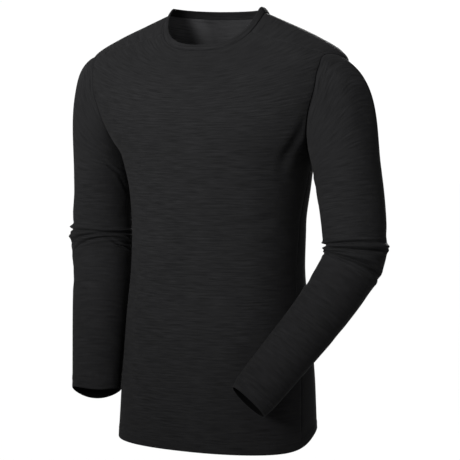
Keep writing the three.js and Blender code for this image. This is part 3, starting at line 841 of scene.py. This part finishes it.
def stitch_places(path, normals):
    """The middle of each stitch on a closed path, and its directions along, aside and off the cloth."""
    closed = np.concatenate([path, path[:1]])
    closed_normals = np.concatenate([normals, normals[:1]])
    lengths = np.concatenate([[0], np.cumsum(np.linalg.norm(np.diff(closed, axis=0), axis=-1))])

    def between(vectors, at):
        return np.stack([np.interp(at, lengths, vectors[:, i]) for i in range(3)], -1)

    count = int(lengths[-1] / STITCH_STEP)
    at = (np.arange(count) + 0.5) * lengths[-1] / count
    middle = between(closed, at)
    along = unit(between(closed, at + STITCH_AIM) - middle)
    aside = unit(np.cross(along, between(closed_normals, at)))
    return zip(middle, along, aside, np.cross(aside, along))


def stitch_points(middle, along, aside, off):
    """A stitch's rings of points, from its back end to its front end."""
    points = []
    for share, girth in STITCH_RINGS:
        for k in range(STITCH_SIDES):
            turn = 2 * math.pi * k / STITCH_SIDES
            outwards = aside * math.cos(turn) + off * math.sin(turn)
            points.append(middle + along * share * STITCH_LENGTH + outwards * girth * STITCH_RADIUS)
    return points


def stitch_faces(first):
    """A stitch's faces, where first is the number of its first point."""
    faces = []
    sides = range(STITCH_SIDES)
    last_ring = first + (len(STITCH_RINGS) - 1) * STITCH_SIDES
    for ring_start in range(first, last_ring, STITCH_SIDES):
        for k in sides:
            low = ring_start + k
            next_low = ring_start + (k + 1) % STITCH_SIDES
            faces.append((low, next_low, next_low + STITCH_SIDES, low + STITCH_SIDES))
    faces.append([first + k for k in reversed(sides)])
    faces.append([last_ring + k for k in sides])
    return faces


def stitches(name, paths, material):
    """Short threads laid end to end along closed paths, each path its points and the face's normals."""
    points = []
    faces = []
    for path, normals in paths:
        for directions in stitch_places(path, normals):
            faces += stitch_faces(len(points))
            points += stitch_points(*directions)
    mesh = bpy.data.meshes.new(name)
    mesh.from_pydata((np.array(points) * MM).tolist(), [], faces)
    mesh.polygons.foreach_set("use_smooth", [True] * len(mesh.polygons))
    mesh.materials.append(material)
    piece = bpy.data.objects.new(name, mesh)
    bpy.context.scene.collection.objects.link(piece)
    return piece


def hem_paths():
    """The needle rows round the hem."""
    angle = np.linspace(0, 2 * np.pi, HEM_PATH_POINTS, endpoint=False)
    paths = []
    for from_edge in NEEDLE_ROWS:
        up = np.full(angle.shape, from_edge)
        normal = torso_normal(angle, up)
        out = torso_relief(angle, up) + STITCH_LIFT
        paths.append((torso_point(angle, up) + normal * out[:, None], normal))
    return paths


def cuff_paths(sleeve):
    """The needle rows round a sleeve's cuff."""
    share = np.linspace(0, 1, CUFF_PATH_POINTS, endpoint=False)
    paths = []
    for from_edge in NEEDLE_ROWS:
        at = np.full(share.shape, sleeve.length - from_edge)
        points, normals = sleeve.face(at, share)
        paths.append((points + normals * STITCH_LIFT, normals))
    return paths


class Shader:
    """Small helpers for building a node material."""

    def __init__(self, name):
        self.material = bpy.data.materials.new(name)
        self.material.use_nodes = True
        self.tree = self.material.node_tree
        self.surface = self.tree.nodes["Principled BSDF"]

    def node(self, kind, **settings):
        made = self.tree.nodes.new("ShaderNode" + kind)
        for key, value in settings.items():
            setattr(made, key, value)
        return made

    def link(self, output, socket):
        self.tree.links.new(output, socket)

    def math(self, operation, first, second=0.0):
        made = self.node("Math", operation=operation)
        for socket, value in zip(made.inputs, (first, second)):
            if isinstance(value, (int, float)):
                socket.default_value = value
            else:
                self.link(value, socket)
        return made.outputs[0]

    def fade(self, value, start, end):
        """1 at the start value, falling softly to 0 at the end value."""
        made = self.node("MapRange", interpolation_type="SMOOTHSTEP")
        made.inputs["From Min"].default_value = start
        made.inputs["From Max"].default_value = end
        made.inputs["To Min"].default_value = 1
        made.inputs["To Max"].default_value = 0
        self.link(value, made.inputs["Value"])
        return made.outputs["Result"]

    def noise(self, vector, scale, detail, roughness):
        """Noise over the cloth, with its own scale across and along."""
        stretch = self.node("VectorMath", operation="MULTIPLY")
        stretch.inputs[1].default_value = scale
        self.link(vector, stretch.inputs[0])
        made = self.node("TexNoise")
        made.inputs["Scale"].default_value = 1
        made.inputs["Detail"].default_value = detail
        made.inputs["Roughness"].default_value = roughness
        self.link(stretch.outputs[0], made.inputs["Vector"])
        return made.outputs[0]

    def between_colours(self, value, dark, light, start=0.0, end=1.0):
        """The dark colour where the value is at its start, the light one at its end."""
        made = self.node("ValToRGB")
        for stop, place, colour in zip(made.color_ramp.elements, (start, end), (dark, light)):
            stop.position = place
            stop.color = colour
        self.link(value, made.inputs[0])
        return made.outputs[0]

    def bump(self, height, strength, distance):
        """Makes the surface catch the light as if it had this height."""
        made = self.node("Bump")
        made.inputs["Strength"].default_value = strength
        made.inputs["Distance"].default_value = distance
        self.link(height, made.inputs["Height"])
        self.link(made.outputs[0], self.surface.inputs["Normal"])

    def set(self, values):
        """Gives the surface's inputs plain values."""
        for name, value in values.items():
            self.surface.inputs[name].default_value = value


def knit_loops(shader, cloth):
    """The height of small slanting loops, one for each course of each wale."""
    split = shader.node("SeparateXYZ")
    shader.link(cloth, split.inputs[0])
    wale = shader.math("DIVIDE", split.outputs[0], WALE)
    from_middle = shader.math("ABSOLUTE", shader.math("SUBTRACT", shader.math("FRACT", wale), 0.5))
    slanted = shader.math("ADD", shader.math("DIVIDE", split.outputs[1], COURSE), from_middle)
    loop = shader.math("SINE", shader.math("MULTIPLY", slanted, 2 * math.pi))
    rib = shader.math("COSINE", shader.math("MULTIPLY", from_middle, math.pi))
    return shader.math("MULTIPLY", shader.math("ADD", loop, 1), shader.math("MULTIPLY", rib, LOOP_HEIGHT))


def jersey(name, groove=1.0):
    """Black single jersey in slubby yarn: fine uneven streaks along the courses, small knit loops."""
    shader = Shader(name)
    cloth = shader.node("UVMap", uv_map="cloth").outputs[0]
    streaks = shader.noise(cloth, **STREAKS)
    fine_streaks = shader.noise(cloth, **FINE_STREAKS)
    clouds = shader.noise(shader.node("TexCoord").outputs["Object"], **CLOUDS)
    broad = shader.math("MULTIPLY", streaks, STREAKS_SHARE)
    fine = shader.math("MULTIPLY", fine_streaks, FINE_STREAKS_SHARE)
    tone = shader.math("ADD", broad, fine)
    tone = shader.math("ADD", tone, shader.math("MULTIPLY", clouds, CLOUDS_SHARE))
    yarn = shader.between_colours(tone, DARK_YARN, LIGHT_YARN, DARKEST_TONE, LIGHTEST_TONE)

    seam = shader.node("Attribute", attribute_name="seam_mm").outputs["Fac"]
    groove_depth = shader.math("MULTIPLY", shader.fade(seam, *GROOVE_FADE), groove)
    darken = shader.node("Mix", data_type="RGBA")
    darken.inputs["B"].default_value = SEAM_YARN
    shader.link(shader.math("MULTIPLY", groove_depth, GROOVE_DARKENS), darken.inputs["Factor"])
    shader.link(yarn, darken.inputs["A"])
    # The colour is scaled by the tone attribute, which paints light on the neck's inside and shade deeper
    # inside.
    toned = shader.node("VectorMath", operation="SCALE")
    shader.link(darken.outputs["Result"], toned.inputs[0])
    shader.link(shader.node("Attribute", attribute_name="tone").outputs["Fac"], toned.inputs["Scale"])
    shader.link(toned.outputs[0], shader.surface.inputs["Base Color"])

    height = shader.math("ADD", knit_loops(shader, cloth), shader.math("MULTIPLY", tone, STREAK_HEIGHT))
    height = shader.math("SUBTRACT", height, shader.math("MULTIPLY", groove_depth, GROOVE_DEPTH))
    shader.bump(height, **KNIT_BUMP)
    roughness = shader.math("ADD", shader.math("MULTIPLY", streaks, STREAK_ROUGHNESS), KNIT_ROUGHNESS)
    shader.link(roughness, shader.surface.inputs["Roughness"])
    shader.set({
        "Specular IOR Level": KNIT_SHINE,
        "Sheen Weight": KNIT_SHEEN,
        "Sheen Roughness": SHEEN_ROUGHNESS,
    })
    return shader.material


def thread_material():
    """Black sewing thread, its plies twisted."""
    shader = Shader("thread")
    twist = shader.noise(shader.node("TexCoord").outputs["Object"], **THREAD_TWIST)
    colour = shader.between_colours(twist, DARK_THREAD, LIGHT_THREAD)
    shader.link(colour, shader.surface.inputs["Base Color"])
    shader.bump(twist, **THREAD_BUMP)
    shader.set({"Roughness": THREAD_ROUGHNESS, "Specular IOR Level": THREAD_SHINE})
    return shader.material


def dress():
    knit = jersey("black_jersey")
    band = jersey("binding_jersey", groove=BINDING_GROOVE)
    thread = thread_material()
    left = Sleeve(LEFT_ARM, 1, LEFT_CAP, LEFT_CREASES, LEFT_CUFF)
    right = Sleeve(RIGHT_ARM, -1, RIGHT_CAP, RIGHT_CREASES, RIGHT_CUFF)
    up, fronts, backs = panel_rows()
    seams = seam_lines()
    front = panel("front_cloth", -math.pi / 2, fronts, up, seams, FRONT_COLUMNS, knit)
    back = panel("back_cloth", math.pi / 2, backs, up, seams, BACK_COLUMNS, knit)
    sleeve_left = sleeve_shell("sleeve_left_cloth", left, knit)
    sleeve_right = sleeve_shell("sleeve_right_cloth", right, knit)
    binding = binding_shell("neck_binding_cloth", band)
    hem = stitches("hem_stitching", hem_paths(), thread)
    cuff_left = stitches("cuff_left_stitching", cuff_paths(left), thread)
    cuff_right = stitches("cuff_right_stitching", cuff_paths(right), thread)

    stands_for = {
        front: ("front_panel", "knit"),
        back: ("back_panel", "knit"),
        sleeve_left: ("sleeve_left", "knit"),
        sleeve_right: ("sleeve_right", "knit"),
        binding: ("neck_binding", "binding"),
    }
    for piece, (node, slot) in stands_for.items():
        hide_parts(node)
    for piece in (front, back, sleeve_left, sleeve_right, binding, hem, cuff_left, cuff_right):
        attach(piece, "root")


def add_camera():
    azimuth = CAMERA_AZIMUTH * DEGREES
    elevation = CAMERA_ELEVATION * DEGREES
    level = math.cos(elevation)
    back = Vector((math.sin(azimuth) * level, -math.cos(azimuth) * level, math.sin(elevation)))
    right = Vector((math.cos(azimuth), math.sin(azimuth), 0))
    data = bpy.data.cameras.new("camera")
    data.sensor_width = SENSOR_WIDTH
    data.lens = SENSOR_WIDTH * CAMERA_DISTANCE / METRES_PER_PIXEL / PIXELS_ACROSS
    data.clip_end = CAMERA_REACH
    camera = bpy.data.objects.new("camera", data)
    camera.location = CAMERA_TARGET + back * CAMERA_DISTANCE
    aim = CAMERA_TARGET + right * CAMERA_ASIDE + Vector((0, 0, CAMERA_ABOVE))
    camera.rotation_mode = "QUATERNION"
    camera.rotation_quaternion = (aim - camera.location).to_track_quat("-Z", "Y")
    bpy.context.scene.collection.objects.link(camera)
    bpy.context.scene.camera = camera


def add_floor():
    """A plain pale floor, well below the hem where the wearer would stand."""
    bpy.ops.mesh.primitive_grid_add(
        x_subdivisions=FLOOR_PARTS, y_subdivisions=FLOOR_PARTS,
        size=2 * FLOOR_HALF, location=(0, 0, FLOOR_BELOW),
    )
    floor = bpy.context.object
    floor.name = "floor"
    shader = Shader("pale_floor")
    shader.set({"Base Color": FLOOR_COLOUR, "Roughness": 1, "Specular IOR Level": 0})
    floor.data.materials.append(shader.material)


def add_softbox(name, place, target, power, spread):
    """A round softbox; its grid keeps the light within the spread, in degrees."""
    data = bpy.data.lights.new(name, "AREA")
    data.shape = "DISK"
    data.size = SOFTBOX_SIZE
    data.energy = power
    data.spread = spread * DEGREES
    light = bpy.data.objects.new(name, data)
    light.location = place
    light.rotation_mode = "QUATERNION"
    light.rotation_quaternion = (Vector(target) - Vector(place)).to_track_quat("-Z", "Y")
    bpy.context.scene.collection.objects.link(light)


def add_light():
    """A soft key on the chest from in front, its like behind, and a white studio round both."""
    world = bpy.data.worlds.new("white_studio")
    world.use_nodes = True
    background = world.node_tree.nodes["Background"]
    background.inputs["Color"].default_value = STUDIO_COLOUR
    background.inputs["Strength"].default_value = STUDIO_STRENGTH
    bpy.context.scene.world = world
    for softbox in SOFTBOXES:
        add_softbox(**softbox)
    bpy.context.scene.view_settings.view_transform = "Standard"


dress()
add_camera()
add_floor()
add_light()
